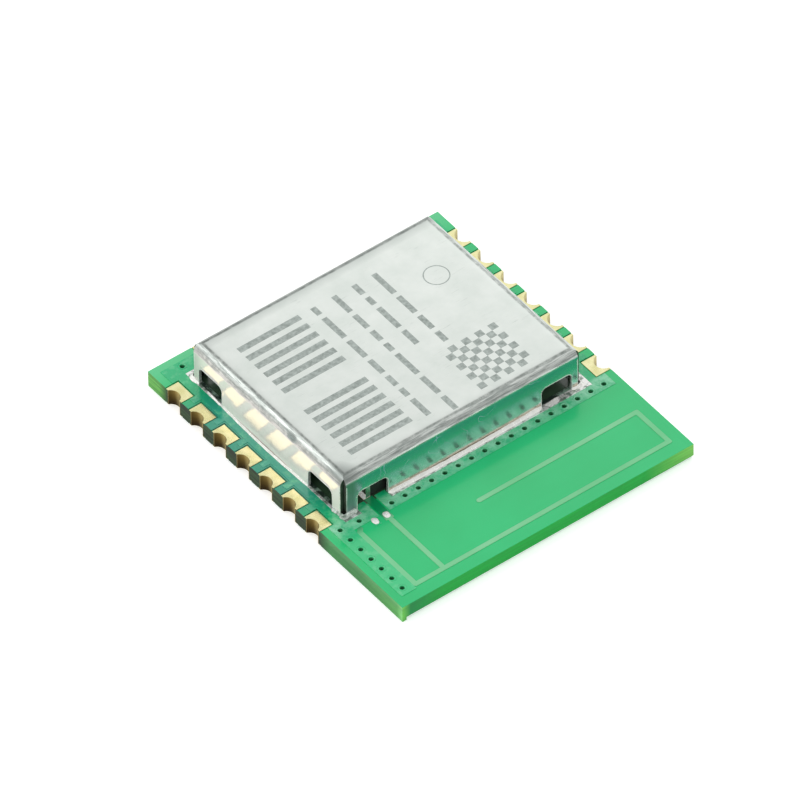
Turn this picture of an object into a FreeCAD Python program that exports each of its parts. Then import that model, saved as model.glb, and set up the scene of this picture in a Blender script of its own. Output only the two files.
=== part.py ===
import FreeCAD, Part
import math
import os

# Shielded radio module: a small circuit board with plated half-hole contacts on
# three edges, a folded metal can soldered over the radio parts, and an antenna
# drawn in copper on the bare end of the board.
#
# Millimetres. Origin at the middle of the board's underside, +X across the board,
# +Y from the antenna end towards the can, +Z up through the can's lid.

# Board
board_width = 14.5
board_length = 16.5
board_thickness = 0.8
score_height = 0.18
score_depth = 0.12
score_lug = 0.2

# Copper on the board
foil = 0.035
foil_rise = 0.02
mask_gap = 0.05
pour_gap = 0.13
pour_edge_margin = 0.35

# Edge contacts
contact_count = 7
contact_pitch = 1.5
contact_width = 1.0
contact_reach = 0.66
contact_reach_below = 0.9
contact_hole_radius = 0.4
contact_plating = 0.04
contact_hole_setback = 0.1
contact_row_shift = -0.06
first_contact_to_rear = 1.7

# Solder land under the can: distances from the board's edges, and its reach inside the walls
land_to_left = 1.08
land_to_right = 1.13
land_to_rear = 1.04
land_to_front = 5.05
land_inside_walls = 0.07
land_thickness = 0.03

# Folded can: land left bare outside each wall, then the sheet itself
bare_land_left = 0.08
bare_land_right = 0.33
bare_land_front = 0.26
bare_land_rear = 0.3
can_height = 1.97
sheet = 0.15
bend_radius_inside = 0.27
corner_gap = 0.02
window_width = 1.5
window_height = 0.93
window_corner_radius = 0.25
window_least_flat = 0.05
window_inset_near = 0.72
window_inset_far = 0.5

# Solder along the foot of the can
bead_height = 0.2
bead_reach = 0.2

# Antenna: distances from the board's edges, and the feed's place beside the can
trace_width = 0.22
antenna_to_front = 0.7
antenna_to_right = 0.68
antenna_to_left = 1.2
antenna_fold_height = 2.07
antenna_open_end_to_left = 5.95
antenna_start_jog = 0.12
feed_from_can_side = 1.44
feed_line_width = 0.38
feed_slot = 0.07
ground_strip_to_front = 0.5
ground_beyond_land = 0.53

# Plated ground holes
via_radius = 0.1
via_plating = 0.03
via_pitch = 0.66
via_row_from_land = 0.26
via_row_to_right = 0.75
via_row_from_feed = 0.56
via_column_to_left = 0.65
via_column_from_contact = 0.46
via_column_to_front = 0.86
lone_via_from_land = 0.15
lone_via_to_rear = 0.63
strip_via_from_feed = 1.05

# Solder spots at the antenna's feed
spot_width = 0.28
spot_length = 0.38
spot_height = 0.05
spot_bevel = 0.04
spot_from_ground_edge = 0.06
spot_pitch = 0.56

# Radio parts under the can
film = 0.02
end_cap = 0.22
cap_rise = 0.012
solder_toe = 0.1
solder_climb = 0.18
part_spacing = 0.35
chip_width = 4.2
chip_length = 3.0
chip_height = 0.45
chip_bevel = 0.04
ball_radius = 0.12
ball_seat_radius = 0.08
ball_height = 0.18
ball_pitch = 0.6
ball_land_margin = 0.03
small_round_sides = 8
crystal_width = 1.6
crystal_length = 2.0
crystal_case_height = 0.35
crystal_lid_height = 0.12
crystal_lid_inset = 0.12
crystal_land = 0.55
inductor_width = 1.6
inductor_length = 2.0
inductor_height = 0.9
inductor_cap = 0.5
filter_length = 1.6
filter_width = 0.8
filter_height = 0.7
filter_from_land = 0.05
capacitor_length = 1.0
capacitor_width = 0.5
capacitor_height = 0.5
capacitors_in_row = 4
capacitor_pitch = 1.4
resistor_length = 1.0
resistor_width = 0.5
resistor_height = 0.35
resistor_count = 3
resistor_pitch = 0.8

# Places that follow from the sizes
left_edge = -board_width / 2
right_edge = board_width / 2
front_edge = -board_length / 2
rear_edge = board_length / 2
foil_top = board_thickness + foil_rise
land_top = board_thickness + land_thickness

land_left = left_edge + land_to_left
land_right = right_edge - land_to_right
land_front = front_edge + land_to_front
land_rear = rear_edge - land_to_rear

can_left = land_left + bare_land_left
can_right = land_right - bare_land_right
can_front = land_front + bare_land_front
can_rear = land_rear - bare_land_rear
can_top = land_top + can_height
can_middle_x = (can_left + can_right) / 2
can_middle_y = (can_front + can_rear) / 2
corner_cut = sheet + corner_gap

inner_left = can_left + sheet + land_inside_walls
inner_right = can_right - sheet - land_inside_walls
inner_front = can_front + sheet + land_inside_walls
inner_rear = can_rear - sheet - land_inside_walls

ground_front = land_front - ground_beyond_land
feed_x = can_left + feed_from_can_side
filter_front = inner_front + filter_from_land
part_seat = land_top + film
row_offset = chip_length / 2 + part_spacing + capacitor_width / 2


def block(x0, x1, y0, y1, z0, z1):
    """A box between two corners."""
    return Part.makeBox(x1 - x0, y1 - y0, z1 - z0, FreeCAD.Vector(x0, y0, z0))


def post(x, y, radius, z0, z1):
    """An upright cylinder."""
    return Part.makeCylinder(radius, z1 - z0, FreeCAD.Vector(x, y, z0))


def level_ring(x, y, radius, z, sides):
    """The corners of a regular polygon whose flats lie at the radius."""
    reach = radius / math.cos(math.pi / sides)
    turns = [math.tau * (i + 0.5) / sides for i in range(sides)]
    return [FreeCAD.Vector(x + reach * math.cos(t), y + reach * math.sin(t), z) for t in turns]


def layered(rings):
    """A solid with flat faces between level outlines that have as many corners each."""
    outlines = [rings[0], rings[-1]]
    for low, high in zip(rings, rings[1:]):
        for i in range(len(low)):
            j = (i + 1) % len(low)
            outlines.append([low[i], low[j], high[j], high[i]])
    faces = [Part.Face(Part.makePolygon(outline + outline[:1])) for outline in outlines]
    return Part.makeSolid(Part.makeShell(faces))


def prism(x, y, radius, z0, z1, sides):
    """An upright post with flat sides."""
    return layered([level_ring(x, y, radius, z, sides) for z in (z0, z1)])


def placed(shape, x, y, turn):
    """A copy of the shape turned about Z by a number of degrees, then moved."""
    copy = shape.copy()
    copy.rotate(FreeCAD.Vector(0, 0, 0), FreeCAD.Vector(0, 0, 1), turn)
    copy.translate(FreeCAD.Vector(x, y, 0))
    return copy


def extruded(points, direction):
    """A flat outline pulled along a direction."""
    wire = Part.makePolygon([FreeCAD.Vector(*p) for p in points + points[:1]])
    return Part.Face(wire).extrude(FreeCAD.Vector(*direction))


def joined(shapes):
    """Several overlapping shapes as one clean solid."""
    return shapes[0].fuse(shapes[1:]).removeSplitter()


# Edge contacts, modelled with the board's edge at x = 0 and the board towards +x

def contact_places():
    """Name, x, y, turn and row shift of every contact."""
    places = []
    row_middle = (contact_count - 1) / 2
    first_y = rear_edge - first_contact_to_rear
    for i in range(contact_count):
        y = first_y - i * contact_pitch
        places.append(("left_contact_%d" % (i + 1), left_edge, y, 0, -contact_row_shift))
        places.append(("right_contact_%d" % (i + 1), right_edge, y, 180, contact_row_shift))
        x = contact_row_shift + (row_middle - i) * contact_pitch
        places.append(("rear_contact_%d" % (i + 1), x, rear_edge, -90, 0.0))
    return places


def contact_shape(shift):
    """Top land, half-hole plating and bottom land in one piece of metal."""
    half = contact_width / 2
    setback = contact_hole_setback + shift
    reach = contact_reach - shift
    reach_below = contact_reach_below - shift
    barrel = post(-setback, 0, contact_hole_radius + contact_plating, 0, board_thickness)
    upper = block(0, reach, -half, half, board_thickness - foil, board_thickness)
    lower = block(0, reach_below, -half, half, 0, foil)
    hole = post(-setback, 0, contact_hole_radius, 0, board_thickness)
    inside = block(0, reach + reach_below, -half, half, 0, board_thickness)
    return joined([barrel, upper, lower]).cut(hole).common(inside)


def contact_pocket(shift):
    """What the board gives up for one contact: the drilled hole and the two openings."""
    half = contact_width / 2 + mask_gap
    setback = contact_hole_setback + shift
    upper_end = contact_reach - shift + mask_gap
    lower_end = contact_reach_below - shift + mask_gap
    hole = post(-setback, 0, contact_hole_radius + contact_plating, 0, board_thickness)
    upper = block(-mask_gap, upper_end, -half, half, board_thickness - foil, board_thickness)
    lower = block(-mask_gap, lower_end, -half, half, 0, foil)
    return hole.fuse([upper, lower])


def contact_clearance(shift, gap):
    """The area round a contact's top land that the ground copper keeps out of."""
    half = contact_width / 2 + gap
    end = contact_reach - shift + gap
    return block(-gap, end, -half, half, board_thickness, foil_top)


# Plated ground holes

def via_places():
    """Centres of the plated holes: front row, left column and two single ones."""
    row_y = land_front - via_row_from_land
    row_start = feed_x + via_row_from_feed
    row_end = right_edge - via_row_to_right
    row_steps = max(1, round((row_end - row_start) / via_pitch))
    row_step = (row_end - row_start) / row_steps
    places = [(row_start + i * row_step, row_y) for i in range(row_steps + 1)]

    last_contact_y = rear_edge - first_contact_to_rear - (contact_count - 1) * contact_pitch
    column_x = left_edge + via_column_to_left
    column_start = last_contact_y - contact_width / 2 - via_column_from_contact
    column_end = front_edge + via_column_to_front
    column_steps = max(1, round((column_start - column_end) / via_pitch))
    column_step = (column_start - column_end) / column_steps
    places += [(column_x, column_start - i * column_step) for i in range(column_steps + 1)]

    places.append((feed_x - strip_via_from_feed, row_y))
    places.append((land_left + lone_via_from_land, rear_edge - lone_via_to_rear))
    return places


def via_drills():
    """The drilled holes that the linings fill, with few sides because they are many and small."""
    drill_radius = via_radius + via_plating
    return [prism(x, y, drill_radius, 0, foil_top, small_round_sides) for x, y in via_places()]


def via_barrels():
    """The copper linings of the plated holes."""
    barrels = []
    for drill, (x, y) in zip(via_drills(), via_places()):
        barrels.append(drill.cut(prism(x, y, via_radius, 0, foil_top, small_round_sides)))
    return Part.makeCompound(barrels)


# Board and copper

def circuit_board():
    """Laminate with its half holes, openings, drilled holes and broken-off front edge."""
    board = block(left_edge, right_edge, front_edge, rear_edge, 0, board_thickness)
    cuts = [placed(contact_pocket(shift), x, y, turn) for name, x, y, turn, shift in contact_places()]
    cuts += via_drills()
    cuts.append(extruded([(left_edge + score_lug, front_edge, 0),
                          (left_edge + score_lug, front_edge + score_depth, 0),
                          (left_edge + score_lug, front_edge, score_height)],
                         (board_width - score_lug, 0, 0)))
    return board.cut(cuts).removeSplitter()


def land_gap():
    """The stretch of the can's land left out where the antenna's feed passes."""
    gap_left = can_left + window_inset_near
    return block(gap_left, gap_left + window_width, land_front, inner_front,
                 board_thickness, land_top)


def inside_land(top):
    """The room inside the land's ring, up to a height."""
    return block(inner_left, inner_right, inner_front, inner_rear, board_thickness, top)


def shield_land():
    """Tinned copper ring that the can stands on."""
    outer = block(land_left, land_right, land_front, land_rear, board_thickness, land_top)
    return outer.cut([inside_land(land_top), land_gap()])


def trace_run(points):
    """A copper track through a list of points, with round corners and ends."""
    half = trace_width / 2
    pieces = [post(x, y, half, board_thickness, foil_top) for x, y in points]
    for (x0, y0), (x1, y1) in zip(points, points[1:]):
        length = math.hypot(x1 - x0, y1 - y0)
        run = block(0, length, -half, half, board_thickness, foil_top)
        pieces.append(placed(run, x0, y0, math.degrees(math.atan2(y1 - y0, x1 - x0))))
    return pieces


def antenna_trace():
    """Folded inverted-F antenna with its feed line, one piece of copper."""
    short_x = left_edge + antenna_to_left
    right_x = right_edge - antenna_to_right
    front_y = front_edge + antenna_to_front
    fold_y = front_y + antenna_fold_height
    half = trace_width / 2
    radiator = trace_run([(short_x + antenna_start_jog, ground_front - half),
                          (short_x, ground_front - half - antenna_start_jog),
                          (short_x, front_y),
                          (right_x, front_y),
                          (right_x, fold_y),
                          (left_edge + antenna_open_end_to_left, fold_y)])
    feed = trace_run([(feed_x, ground_front - spot_length), (feed_x, front_y)])
    line = block(feed_x - feed_line_width / 2, feed_x + feed_line_width / 2,
                 ground_front - spot_length, filter_front, board_thickness, foil_top)
    return joined(radiator + feed + [line])


def feed_slot_area():
    """The feed line with the slot on each side of it, as the ground copper sees them."""
    half = feed_line_width / 2 + feed_slot
    return block(feed_x - half, feed_x + half, ground_front, inner_front, board_thickness, foil_top)


def ground_copper():
    """Ground copper on the board's top, round the can and down the left edge."""
    left = left_edge + pour_edge_margin
    right = right_edge - pour_edge_margin
    rear = rear_edge - pour_edge_margin
    strip_right = left_edge + antenna_to_left - trace_width / 2
    strip_front = front_edge + ground_strip_to_front
    spot_x = feed_x - spot_pitch
    copper = joined([
        block(left, right, ground_front, rear, board_thickness, foil_top),
        block(left, strip_right, strip_front, ground_front, board_thickness, foil_top),
        block(spot_x - spot_width / 2, spot_x + spot_width / 2, ground_front - spot_length,
              ground_front, board_thickness, foil_top)])
    ring = block(land_left, land_right, land_front, land_rear, board_thickness, foil_top)
    cuts = [ring.cut(land_gap()), inside_land(foil_top), feed_slot_area()]
    ends = ("_1", "_%d" % contact_count)
    for name, x, y, turn, shift in contact_places():
        grounded = name.endswith(ends) and not name.startswith("rear")
        gap = mask_gap if grounded else pour_gap
        cuts.append(placed(contact_clearance(shift, gap), x, y, turn))
    return copper.cut(cuts + via_drills()).removeSplitter()


def feed_solder():
    """Two low lumps of solder at the antenna's feed."""
    spots = []
    y1 = ground_front + spot_from_ground_edge
    y0 = y1 - spot_length
    for x in (feed_x - spot_pitch, feed_x):
        spot = block(x - spot_width / 2, x + spot_width / 2, y0, y1, foil_top, foil_top + spot_height)
        rims = [e for e in spot.Edges if min(v.Z for v in e.Vertexes) > foil_top + spot_height / 2]
        spots.append(spot.makeChamfer(spot_bevel, rims))
    return Part.makeCompound(spots)


# Folded can

def rounded_ridge(x0, x1, y0, y1, z0, z1, radius, across):
    """A box with its two top edges that lie square to one axis rounded: 0 for x, 1 for y."""
    box = block(x0, x1, y0, y1, z0, z1)
    rims = [e for e in box.Edges
            if min(v.Z for v in e.Vertexes) > z1 - radius / 2
            and abs(e.Vertexes[0].Point[across] - e.Vertexes[1].Point[across]) < radius / 2]
    return box.makeFillet(radius, rims)


def folded_box(x0, x1, y0, y1, z0, z1, radius):
    """A box whose four top edges are rounded and meet in mitres, as folded sheet does."""
    ridges = [rounded_ridge(x0, x1, y0, y1, z0, z1, radius, across) for across in (0, 1)]
    return ridges[0].common(ridges[1])


def window_tool(length):
    """A foot window with two rounded top corners, cut along +x from x = 0."""
    half = window_width / 2
    box = block(0, length, -half, half, 0, window_height)
    tops = [e for e in box.Edges
            if min(v.Z for v in e.Vertexes) > window_height / 2
            and abs(e.Vertexes[0].Y - e.Vertexes[1].Y) < window_width / 2]
    widest = min(half, window_height) - window_least_flat
    return box.makeFillet(min(window_corner_radius, widest), tops)


def window_places():
    """Start, direction and cut length of the two windows in each pair of facing walls."""
    half = window_width / 2
    wide = can_right - can_left
    long = can_rear - can_front
    rows = [(can_left, y, 0, wide) for y in
            (can_front + window_inset_near + half, can_rear - window_inset_far - half)]
    rows += [(x, can_front, 90, long) for x in
             (can_left + window_inset_near + half, can_right - window_inset_far - half)]
    return rows


def shield_can():
    """One folded sheet: lid, four walls, open corner slits and a foot window at each wall end."""
    outer = folded_box(can_left, can_right, can_front, can_rear, land_top, can_top,
                       sheet + bend_radius_inside)
    cavity = folded_box(can_left + sheet, can_right - sheet, can_front + sheet, can_rear - sheet,
                        land_top, can_top - sheet, bend_radius_inside)
    cuts = [cavity]
    for x, y, turn, length in window_places():
        tool = placed(window_tool(length), x, y, turn)
        tool.translate(FreeCAD.Vector(0, 0, land_top))
        cuts.append(tool)
    for x in (can_left, can_right - corner_cut):
        for y in (can_front, can_rear - corner_cut):
            cuts.append(block(x, x + corner_cut, y, y + corner_cut, land_top, can_top))
    return outer.cut(cuts).removeSplitter()


def bead_gaps():
    """What the solder leaves free: the room inside the can and the windows."""
    far = bead_reach + sheet
    top = land_top + bead_height
    gaps = [block(can_left + sheet, can_right - sheet, can_front + sheet, can_rear - sheet,
                  land_top, top)]
    half = window_width / 2
    for x, y, turn, length in window_places():
        gap = block(-far, length + far, -half, half, land_top, top)
        gaps.append(placed(gap, x, y, turn))
    return gaps


def can_solder():
    """Solder beads by name: one along each wall, one round each corner."""
    reach = [min(bead_reach, bare) for bare in
             (bare_land_left, bare_land_right, bare_land_front, bare_land_rear)]
    foot = level_corners(can_left - reach[0], can_right + reach[1],
                         can_front - reach[2], can_rear + reach[3], land_top)
    crest = level_corners(can_left, can_right, can_front, can_rear, land_top + bead_height)
    beads = layered([foot, crest]).cut(bead_gaps() + [shield_can()]).Solids
    names = {}
    for bead in beads:
        middle = bead.CenterOfMass
        side = wall_of(middle.x - can_middle_x, (can_right - can_left) / 2, "left", "right")
        end = wall_of(middle.y - can_middle_y, (can_rear - can_front) / 2, "front", "rear")
        name = "corner_solder_%s_%s" % (end, side) if side and end else "wall_solder_%s" % (side or end)
        names[name] = bead
    return names


def level_corners(x0, x1, y0, y1, z):
    """The four corners of a level rectangle."""
    return [FreeCAD.Vector(*c) for c in ((x0, y0, z), (x1, y0, z), (x1, y1, z), (x0, y1, z))]


def wall_of(distance, half, low, high):
    """The name of the wall that a place lies near, or nothing for one in the middle."""
    if abs(distance) < half / 2:
        return ""
    return low if distance < 0 else high


# Radio parts: chips with metal end caps, modelled along x about their own middle

def chip_part(length, width, height, cap):
    """A small ceramic chip whose two end caps stand slightly proud of its body."""
    core = block(-length / 2 + cap / 2, length / 2 - cap / 2, -width / 2 + cap_rise,
                 width / 2 - cap_rise, part_seat + cap_rise, part_seat + height - cap_rise)
    caps = [block(x, x + cap, -width / 2, width / 2, part_seat, part_seat + height)
            for x in (-length / 2, length / 2 - cap)]
    return joined([core] + caps)


def chip_lands(length, width, cap):
    """The two copper lands under a chip's end caps."""
    reach = length / 2 + solder_toe
    start = length / 2 - cap
    return [block(*span, -width / 2, width / 2, board_thickness, land_top)
            for span in ((-reach, -start), (start, reach))]


def chip_solder(length, width, height, cap):
    """The solder under and beside a chip's end caps."""
    climb = min(solder_climb, height / 2)
    inner = length / 2 - cap
    end = length / 2
    toe = end + solder_toe
    profile = [(inner, land_top), (toe, land_top), (end, part_seat + climb), (end, part_seat),
               (inner, part_seat)]
    one = extruded([(x, -width / 2, z) for x, z in profile], (0, width, 0))
    return [one, placed(one, 0, 0, 180)]


def two_ended_parts():
    """Name, length, width, height, cap, x, y and turn of every part with end caps."""
    rows = []
    side_offset = chip_width / 2 + part_spacing + inductor_width / 2
    rows.append(("power_inductor", inductor_length, inductor_width, inductor_height, inductor_cap,
                 can_middle_x - side_offset, can_middle_y, 90))
    rows.append(("antenna_filter", filter_length, filter_width, filter_height, end_cap,
                 feed_x - end_cap / 2 + filter_length / 2,
                 filter_front + filter_width / 2, 0))
    for i in range(2 * capacitors_in_row):
        side = -1 if i < capacitors_in_row else 1
        step = i % capacitors_in_row - (capacitors_in_row - 1) / 2
        rows.append(("capacitor_%d" % (i + 1), capacitor_length, capacitor_width, capacitor_height,
                     end_cap, can_middle_x + step * capacitor_pitch,
                     can_middle_y + side * row_offset, 0))
    resistor_x = can_middle_x + (capacitors_in_row - 1) / 2 * capacitor_pitch
    for i in range(resistor_count):
        rows.append(("resistor_%d" % (i + 1), resistor_length, resistor_width, resistor_height,
                     end_cap, resistor_x - i * capacitor_pitch,
                     can_middle_y + row_offset + resistor_pitch, 0))
    return rows


def crystal_place():
    """Centre of the crystal, beside the radio chip."""
    return can_middle_x + chip_width / 2 + part_spacing + crystal_width / 2, can_middle_y


def crystal_case():
    """Ceramic tray of the crystal."""
    x, y = crystal_place()
    return block(x - crystal_width / 2, x + crystal_width / 2, y - crystal_length / 2,
                 y + crystal_length / 2, part_seat, part_seat + crystal_case_height)


def crystal_lid():
    """Metal lid welded on the crystal's tray."""
    x, y = crystal_place()
    half_x = crystal_width / 2 - crystal_lid_inset
    half_y = crystal_length / 2 - crystal_lid_inset
    z = part_seat + crystal_case_height
    lid = block(x - half_x, x + half_x, y - half_y, y + half_y, z, z + crystal_lid_height)
    rims = [e for e in lid.Edges if min(v.Z for v in e.Vertexes) > z + crystal_lid_height / 2]
    return lid.makeChamfer(crystal_lid_height / 2, rims)


def crystal_corners():
    """Lower corners of the crystal's four square lands."""
    x, y = crystal_place()
    for sx in (x - crystal_width / 2, x + crystal_width / 2 - crystal_land):
        for sy in (y - crystal_length / 2, y + crystal_length / 2 - crystal_land):
            yield sx, sy


def radio_chip():
    """Bare radio die with a bevelled top rim."""
    z = land_top + ball_height
    die = block(can_middle_x - chip_width / 2, can_middle_x + chip_width / 2,
                can_middle_y - chip_length / 2, can_middle_y + chip_length / 2,
                z, z + chip_height)
    rims = [e for e in die.Edges if min(v.Z for v in e.Vertexes) > z + chip_height / 2]
    return die.makeChamfer(chip_bevel, rims)


def ball_places():
    """Centres of the solder balls, a grid that fills the die's underside."""
    columns = int((chip_width - 2 * ball_radius) / ball_pitch)
    rows = int((chip_length - 2 * ball_radius) / ball_pitch)
    for i in range(columns):
        for j in range(rows):
            yield (can_middle_x + (i - (columns - 1) / 2) * ball_pitch,
                   can_middle_y + (j - (rows - 1) / 2) * ball_pitch)


def chip_balls():
    """Solder balls under the die: low barrels, narrow where they meet it and the board's lands."""
    levels = [(land_top, ball_seat_radius), (land_top + ball_height / 2, ball_radius),
              (land_top + ball_height, ball_seat_radius)]
    balls = []
    for x, y in ball_places():
        balls.append(layered([level_ring(x, y, radius, z, small_round_sides) for z, radius in levels]))
    return Part.makeCompound(balls)


def component_lands():
    """Copper lands of every radio part."""
    lands = []
    for name, length, width, height, cap, x, y, turn in two_ended_parts():
        lands += [placed(land, x, y, turn) for land in chip_lands(length, width, cap)]
    for x, y in crystal_corners():
        lands.append(block(x, x + crystal_land, y, y + crystal_land, board_thickness, land_top))
    ball_land = ball_seat_radius + ball_land_margin
    for x, y in ball_places():
        lands.append(block(x - ball_land, x + ball_land, y - ball_land, y + ball_land,
                           board_thickness, land_top))
    return Part.makeCompound(lands)


def component_solder():
    """Solder joints of every radio part but the die."""
    joints = []
    for name, length, width, height, cap, x, y, turn in two_ended_parts():
        joints += [placed(joint, x, y, turn) for joint in chip_solder(length, width, height, cap)]
    for x, y in crystal_corners():
        joints.append(block(x, x + crystal_land, y, y + crystal_land, land_top, part_seat))
    return Part.makeCompound(joints)


def all_parts():
    """Every node of the module by name."""
    parts = {"circuit_board": circuit_board()}
    for name, x, y, turn, shift in contact_places():
        parts[name] = placed(contact_shape(shift), x, y, turn)
    parts["ground_vias"] = via_barrels()
    parts["ground_copper"] = ground_copper()
    parts["antenna_trace"] = antenna_trace()
    parts["feed_solder"] = feed_solder()
    parts["shield_land"] = shield_land()
    parts["shield_can"] = shield_can()
    parts.update(can_solder())
    parts["radio_chip"] = radio_chip()
    parts["radio_chip_balls"] = chip_balls()
    parts["crystal_case"] = crystal_case()
    parts["crystal_lid"] = crystal_lid()
    for name, length, width, height, cap, x, y, turn in two_ended_parts():
        parts[name] = placed(chip_part(length, width, height, cap), x, y, turn)
    parts["component_lands"] = component_lands()
    parts["component_solder"] = component_solder()
    return parts


os.makedirs("parts", exist_ok=True)
for name, shape in all_parts().items():
    shape.exportStep("parts/%s.step" % name)
    box = shape.BoundBox
    print("%-28s solids %2d  volume %8.4f  x %7.3f %7.3f  y %7.3f %7.3f  z %6.3f %6.3f  valid %s" % (
        name, len(shape.Solids), shape.Volume, box.XMin, box.XMax, box.YMin, box.YMax,
        box.ZMin, box.ZMax, shape.isValid()))
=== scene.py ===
import bpy
import math
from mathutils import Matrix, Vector, geometry, noise

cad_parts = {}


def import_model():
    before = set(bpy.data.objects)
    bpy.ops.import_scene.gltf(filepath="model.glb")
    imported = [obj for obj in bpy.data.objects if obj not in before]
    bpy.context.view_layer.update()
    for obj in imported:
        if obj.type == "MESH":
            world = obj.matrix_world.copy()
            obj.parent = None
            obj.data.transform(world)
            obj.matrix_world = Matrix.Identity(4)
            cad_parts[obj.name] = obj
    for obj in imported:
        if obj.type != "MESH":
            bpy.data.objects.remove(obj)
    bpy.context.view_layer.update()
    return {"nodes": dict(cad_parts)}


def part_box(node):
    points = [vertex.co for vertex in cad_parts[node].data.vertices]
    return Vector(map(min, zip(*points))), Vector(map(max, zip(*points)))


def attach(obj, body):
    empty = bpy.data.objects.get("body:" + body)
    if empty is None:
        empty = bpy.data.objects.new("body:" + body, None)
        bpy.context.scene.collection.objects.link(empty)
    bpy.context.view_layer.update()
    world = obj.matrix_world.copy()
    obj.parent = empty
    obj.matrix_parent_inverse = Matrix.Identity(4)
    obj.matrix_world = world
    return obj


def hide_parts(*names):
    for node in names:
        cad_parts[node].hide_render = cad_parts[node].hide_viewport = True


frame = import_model()

# Every length below is in millimetres and is turned into metres where a mesh is made.
MM = 0.001
ROOT = "root"

# Distance at which points are welded; angles for flats, rounded edges and sharp edges
WELD_DISTANCE = 0.0005
FLAT_ANGLE = 1
EDGE_ANGLE = 40
SHARP_ANGLE = 35

# Tolerance of the triangulation
TOLERANCE = 1e-6

# Camera: fitted to the board's corners and contacts in the photograph
CAMERA_PLACE = (-305.095, -402.566, 515.899)
CAMERA_TURN = (44.4613, 0.5498, -37.6279)
CAMERA_LENS = 821.84
CAMERA_CLIP = (10, 20000)
SENSOR_WIDTH = 36.0

# Shield can
SHEET = 0.15
BEND_RADIUS = 0.42
SLIT = 0.17
WINDOW_WIDTH = 1.5
WINDOW_HEIGHT = 0.93
WINDOW_RADIUS = 0.25
WINDOW_INSET_NEAR = 0.72
WINDOW_INSET_FAR = 0.5
CELL = 0.1
LID_CELL = 0.2
BEND_STEPS = 10
MITRE_STEPS = 3
ARC_STEPS = 8
LID_WAVE = 0.006
DENT_PLACE = (-6.035, 0.4, 2.58)
DENT_SIZE = (0.1, 0.2, 0.1)
DENT_DEPTH = 0.07
DENT_DIRECTION = (1, 0, -0.5)

# Where the cut faces of the corner slits lie; they take the dark inside tin, which is painted shade
SLIT_BELOW_LID = 0.2
SLIT_SKIN = 0.03
SLIT_PLAY = 0.01

# Where the bright punched faces lie along an edge
PUNCHED_REACH = 0.04
PUNCHED_OVER_FOOT = 0.02
PUNCHED_BELOW_BEND = 0.1

# Burr along the can's punched edges; its profile gives shares of its reach and of its height
BURR_REACH = 0.055
BURR_CLEARANCE = 1.5 * BURR_REACH
BURR_HEIGHT = 0.016
BURR_PROFILE = ((0.0, 0.3), (0.35, 1.0), (1.0, 0.0))
BURR_FADE = 0.1
BURR_END = 0.03

# How far each wall's foot leans out between its windows, and up to which height
FLARE = {"front": (0.09, 0.75), "right": (0.06, 1.2), "rear": (0.06, 1.2), "left": (0.11, 1.5)}

# Kinds of face on the can's outer skin, which are also places in its list of materials
PLAIN, ETCHED, PUNCHED = 0, 2, 4

# Solder: height and reach of the bead along each wall
BEAD_SIZES = {"front": (0.1, 0.13), "right": (0.2, 0.19), "rear": (0.2, 0.18), "left": (0.08, 0.05)}
BEAD_ROWS = 9
BEAD_STEP = 0.05
BEAD_FADE = 0.12
BEAD_SUNK = 0.03
CORNER_RADIUS = 0.06
CORNER_STEPS = 8
CORNER_SIZE = 0.12
CORNERS = {"front_right": ("front", "right"), "rear_right": ("right", "rear"),
           "rear_left": ("rear", "left"), "front_left": ("left", "front")}
SPOT_WIDTH = 0.28
SPOT_CELLS = 16
SPOT_RAISED = 0.002

# Smears of solder across the mouth of a window: side, window, start and end along it, reach
SMEARS = (("left", 0, 0.35, 1.0, 0.07), ("front", 1, 0.1, 0.55, 0.22))
SMEAR_HEIGHT = 0.04

# Where each solder piece starts in the noise that makes it lumpy
BEAD_SEED, CORNER_SEED, SMEAR_SEED = 11.0, 31.0, 41.0

# Ring of mask round a plated hole: radius and height over the copper
RIM_PROFILE = ((0.098, -0.05), (0.1, -0.012), (0.112, 0.004), (0.135, 0.01), (0.165, 0.008), (0.2, -0.002))
RIM_TURNS = 24
HOLES_APART = 0.3

# Marks etched on the lid: a ring, a chequer, rows of dashes and stripes
STROKE = 0.3
RING_PLACE = (3.82, 3.86)
RING_RADIUS = 0.53
RING_STROKE = 0.05
RING_POINTS = 40
CHEQUER_LOW = (1.32, -2.26)
CHEQUER_HIGH = (4.0, 0.39)
CHEQUER_COUNT = 8
DASH_ROWS = ((1.9, 0.56), (0.9, 1.33), (-0.1, -2.5), (-1.15, -2.08))
DASH_START = 5.45
DASH_HEIGHT = 0.26
DASH_GAP = 0.26
DASH_LENGTHS = (1.35, 0.62, 1.1, 0.48, 0.86)
STRIPES_LOW = ((-4.9, 2.33), (-4.9, -1.96))
STRIPES_HIGH = ((-1.85, 5.5), (-1.85, 1.15))

# Studio; lamps as direction, distance, size and power
FLOOR_GAP = 0.02
FLOOR_REACH = 4000
FLOOR_SEEN = 0.4
FLOOR_MIRRORED = 0.15
LAMPS = {
    "key": ((-0.45, 0.56, 0.7), 150, 60, 0.0155),
    "card": ((0.72, 0.82, 0.66), 60, 40, 0.00139),
    "side": ((-1, -0.1, 0.35), 60, 45, 0.0036),
}

# Darker parts of the room that metal mirrors: direction, where each starts and is full, its level
ROOM_DARKENINGS = (
    ((-0.05, 0.2, 0.98), 0.64, 0.94, 0.58),
    ((0.3, -0.9, 0.1), 0.3, 0.95, 0.45),
    ((0.42, 0.9, 0.05), 0.75, 0.95, 0.4),
)

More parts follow.
